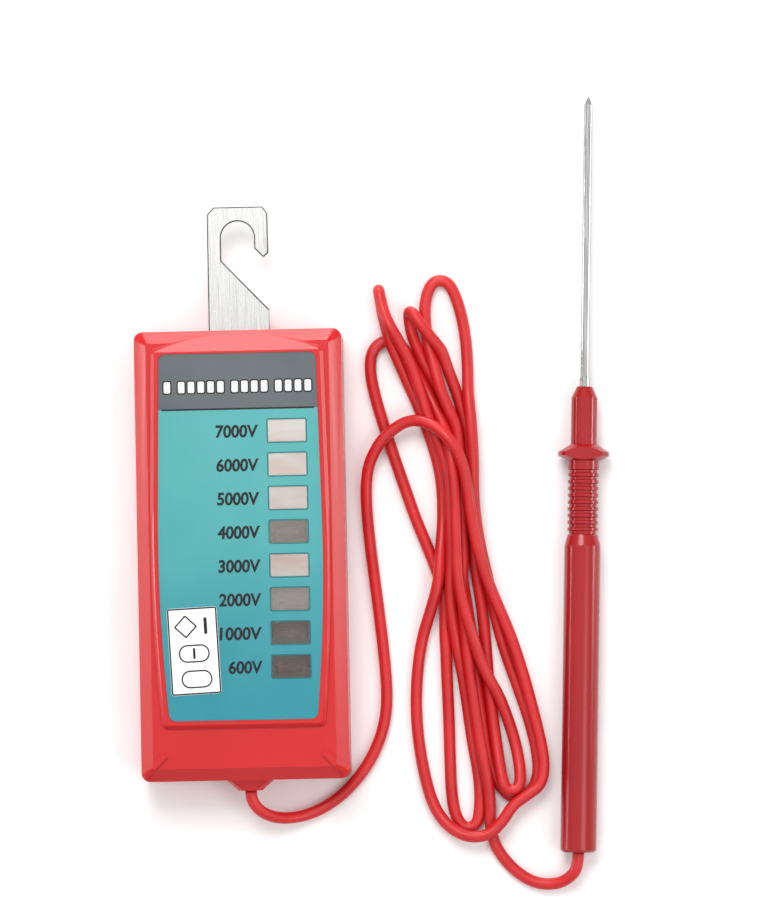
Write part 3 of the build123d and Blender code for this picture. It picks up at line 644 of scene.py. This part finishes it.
def rounded(width, height, radius, x=0.0, y=0.0, turn=0.0, arc_steps=5):
    """Outline of a rounded rectangle about (x, y), turned in degrees."""
    points = []
    for quarter, (sx, sy) in enumerate(((1, 1), (-1, 1), (-1, -1), (1, -1))):
        centre = Vector((sx * (width / 2 - radius), sy * (height / 2 - radius)))
        for step in range(arc_steps + 1):
            angle = math.radians(90 * (quarter + step / arc_steps))
            points.append(centre + Vector((math.cos(angle), math.sin(angle))) * radius)
    spin = Matrix.Rotation(math.radians(turn), 2)
    return [spin @ point + Vector((x, y)) for point in points]


def print_slab(build, outline, z, hole=None):
    """Adds a thin slab with an outline and, optionally, a hole with as many points: printed ink, and also
    the painted shade round the windows.
    """
    def wall(points):
        low = [build.verts.new((p.x, p.y, z)) for p in points]
        top = [build.verts.new((p.x, p.y, z + INK)) for p in points]
        for i in range(len(points)):
            j = (i + 1) % len(points)
            build.faces.new((low[i], low[j], top[j], top[i]))
        return low, top

    low, top = wall(outline)
    if hole is None:
        build.faces.new(top)
        build.faces.new(list(reversed(low)))
        return
    inner_low, inner_top = wall(hole)
    for i in range(len(outline)):
        j = (i + 1) % len(outline)
        build.faces.new((top[i], top[j], inner_top[j], inner_top[i]))
        build.faces.new((low[j], low[i], inner_low[i], inner_low[j]))


def add_figures(ink):
    """Voltage of each lamp, in plain figures, right-aligned beside its window."""
    face_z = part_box("face_label")[1][2]
    for number, words in enumerate(FIGURES, start=1):
        low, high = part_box(f"window_lens_{number}")
        lettering = bpy.data.curves.new("figures", "FONT")
        lettering.body = words
        lettering.bevel_depth = 0.03
        lettering.bevel_resolution = 1
        lettering.shear = 0.06
        lettering.resolution_u = 6
        carrier = bpy.data.objects.new("figures", lettering)
        mesh = bpy.data.meshes.new_from_object(carrier)
        bpy.data.objects.remove(carrier)
        bpy.data.curves.remove(lettering)
        xs = [vertex.co.x for vertex in mesh.vertices]
        ys = [vertex.co.y for vertex in mesh.vertices]
        thickness = max(vertex.co.z for vertex in mesh.vertices)
        tall = FIGURE_HEIGHT / (max(ys) - min(ys))
        wide = FIGURE_WIDTH * len(words) / len(FIGURES[0]) / (max(xs) - min(xs))
        for vertex in mesh.vertices:
            x, y, z = vertex.co
            vertex.co.x = low[0] - FIGURE_GAP + (x - max(xs)) * wide
            vertex.co.y = (low[1] + high[1]) / 2 + (y - (max(ys) + min(ys)) / 2) * tall
            vertex.co.z = face_z + INK * (0.5 + z / (2 * thickness))
        mesh.materials.append(ink)
        made = bpy.data.objects.new(f"voltage_figures_{number}", mesh)
        bpy.context.collection.objects.link(made)
        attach(made, "case")


def block_places():
    """Distance of each block from the first one, with a gap between the groups."""
    places = []
    x = 0.0
    for count in BLOCK_GROUPS:
        for _ in range(count):
            places.append(x)
            x += BLOCK_PITCH
        x += BLOCK_PITCH * GROUP_GAP
    return places


def add_header(ink, pale_ink):
    """Plain blocks, in groups, across the band at the top, and a rule below it."""
    low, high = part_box("face_label")
    centre_x, z = (low[0] + high[0]) / 2, high[2]
    middle = high[1] - BLOCKS_DOWN
    places = block_places()
    shift = centre_x - (places[0] + places[-1]) / 2
    rim_w, rim_h = BLOCK_W + BLOCK_RIM * 2, BLOCK_H + BLOCK_RIM * 2
    dark, pale = bmesh.new(), bmesh.new()
    for place in places:
        outline = rounded(BLOCK_W, BLOCK_H, BLOCK_R, place + shift, middle)
        print_slab(pale, outline, z)
        print_slab(dark, rounded(rim_w, rim_h, BLOCK_RIM_R, place + shift, middle), z, hole=outline)
    rule_w = (high[0] - low[0]) * RULE_SHARE
    print_slab(dark, rounded(rule_w, RULE_H, RULE_H / 2.2, centre_x, high[1] - HEADER_DEPTH), z)
    add_mesh("header_block_rims", dark, ink, "case")
    add_mesh("header_blocks", pale, pale_ink, "case")


def add_window_shade_lines(ink):
    """Fine dark line round each window: painted shade for the shadow at each recessed lens's edge."""
    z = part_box("face_label")[1][2]
    rims = bmesh.new()
    for number in range(1, len(FIGURES) + 1):
        low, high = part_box(f"window_lens_{number}")
        centre = ((low[0] + high[0]) / 2, (low[1] + high[1]) / 2)
        outer = [side + RIM_WIDTH * 2 for side in WINDOW_OPENING]
        opening = rounded(*WINDOW_OPENING, OPENING_R, *centre)
        print_slab(rims, rounded(*outer, RIM_R, *centre), z, hole=opening)
    add_mesh("window_shade_lines", rims, ink, "case")


def add_sticker_marks(ink):
    """Plain shapes on the small white sticker: a frame, a diamond, a bar and two flat rings."""
    low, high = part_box("rating_sticker")
    centre = Vector(((low[0] + high[0]) / 2, (low[1] + high[1]) / 2))
    lean = Matrix.Rotation(math.radians(STICKER_TILT), 2)
    z = high[2]
    marks = bmesh.new()

    def frame_at(x, y, width, height, radius, turn=0.0):
        """Outline of one pen width, its outer side given."""
        place = centre + lean @ Vector((x, y))
        inner = radius - PEN if radius > PEN else radius / 2
        print_slab(marks, rounded(width, height, radius, *place, STICKER_TILT + turn), z,
                   hole=rounded(width - 2 * PEN, height - 2 * PEN, inner, *place, STICKER_TILT + turn))

    def bar_at(x, y, width, height):
        place = centre + lean @ Vector((x, y))
        print_slab(marks, rounded(width, height, min(width, height) * 0.35, *place, STICKER_TILT), z)

    frame_at(0.0, 0.0, *STICKER_FRAME, 0.0006)
    frame_at(-0.0024, 0.0083, *DIAMOND, 0.0005, turn=45)
    bar_at(0.0043, 0.0083, 0.0011, 0.0056)
    frame_at(0.0, -0.0008, *FLAT_RING, FLAT_RING[1] * 0.48)
    bar_at(0.0, -0.0008, 0.0008, FLAT_RING[1] * 0.6)
    frame_at(0.0004, -0.0094, *FLAT_RING, FLAT_RING[1] * 0.48)
    add_mesh("sticker_marks", marks, ink, "case")


# ---------------------------------------------------------------- what shows behind the windows

def add_electrodes(metal):
    """Two short rods inside each neon lamp, side by side along it."""
    build = bmesh.new()
    turn = Matrix.Rotation(math.pi / 2, 4, "Y")
    for number in range(1, len(FIGURES) + 1):
        low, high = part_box(f"neon_lamp_{number}")
        x, y, z = [(a + b) / 2 for a, b in zip(low, high)]
        for side in (-1, 1):
            place = (x - ELECTRODE_BACK, y + side * ELECTRODE_APART, z + ELECTRODE_UP)
            bmesh.ops.create_cone(
                build, cap_ends=True, segments=16, radius1=ELECTRODE_R, radius2=ELECTRODE_TIP_R,
                depth=ELECTRODE_LENGTH, matrix=Matrix.Translation(place) @ turn)
    electrodes = add_mesh("lamp_electrodes", build, metal, "case")
    for face in electrodes.data.polygons:
        face.use_smooth = len(face.vertices) == 4


# ---------------------------------------------------------------- edges of the CAD pieces

def soften_edges(name, width):
    """Small rounded edges, as a mould leaves them."""
    target = frame["nodes"][name]
    weld = target.modifiers.new("joined_faces", "WELD")
    weld.merge_threshold = WELD_GAP
    bevel = target.modifiers.new("soft_edge", "BEVEL")
    bevel.width = width
    bevel.segments = 2
    bevel.limit_method = "ANGLE"
    bevel.angle_limit = math.radians(EDGE_ANGLE)
    bevel.harden_normals = True
    return bevel


def edges_in_painted_shade(name, width, painted_shade_material):
    """Rounded edges in a dark material of their own, painted shade for the plate's outline, on a plate
    whose flat faces are first joined up whole.
    """
    bevel = soften_edges(name, width)
    target = frame["nodes"][name]
    flats = target.modifiers.new("whole_flats", "DECIMATE")
    flats.decimate_type = "DISSOLVE"
    flats.angle_limit = math.radians(FLAT_ANGLE)
    target.modifiers.move(len(target.modifiers) - 1, 1)
    target.data.materials.append(painted_shade_material)
    bevel.material = len(target.data.materials) - 1
    bevel.harden_normals = False
    bevel.use_clamp_overlap = False


add_camera()
materials = add_materials()
add_lead(materials["lead_jacket"])
add_studio()

black_ink = printing_ink("black_ink", (0.010, 0.010, 0.011), (0.028, 0.028, 0.030))
pale_ink = printing_ink("pale_ink", (0.62, 0.63, 0.63), (0.74, 0.75, 0.75))
# painted shade: dark teal for the line round each window
painted_shade_ink = printing_ink("painted_shade_ink", (0.010, 0.075, 0.085), (0.018, 0.105, 0.115))
add_figures(black_ink)
add_header(black_ink, pale_ink)
add_window_shade_lines(painted_shade_ink)
add_sticker_marks(black_ink)
add_electrodes(materials["tinned_wire"])
soften_edges("front_cover", COVER_EDGE)
soften_edges("rear_cover", COVER_EDGE)
# the hook plate's rounded edges carry painted shade, a dark outline
edges_in_painted_shade("hook_plate", HOOK_EDGE, painted_shade_edge())
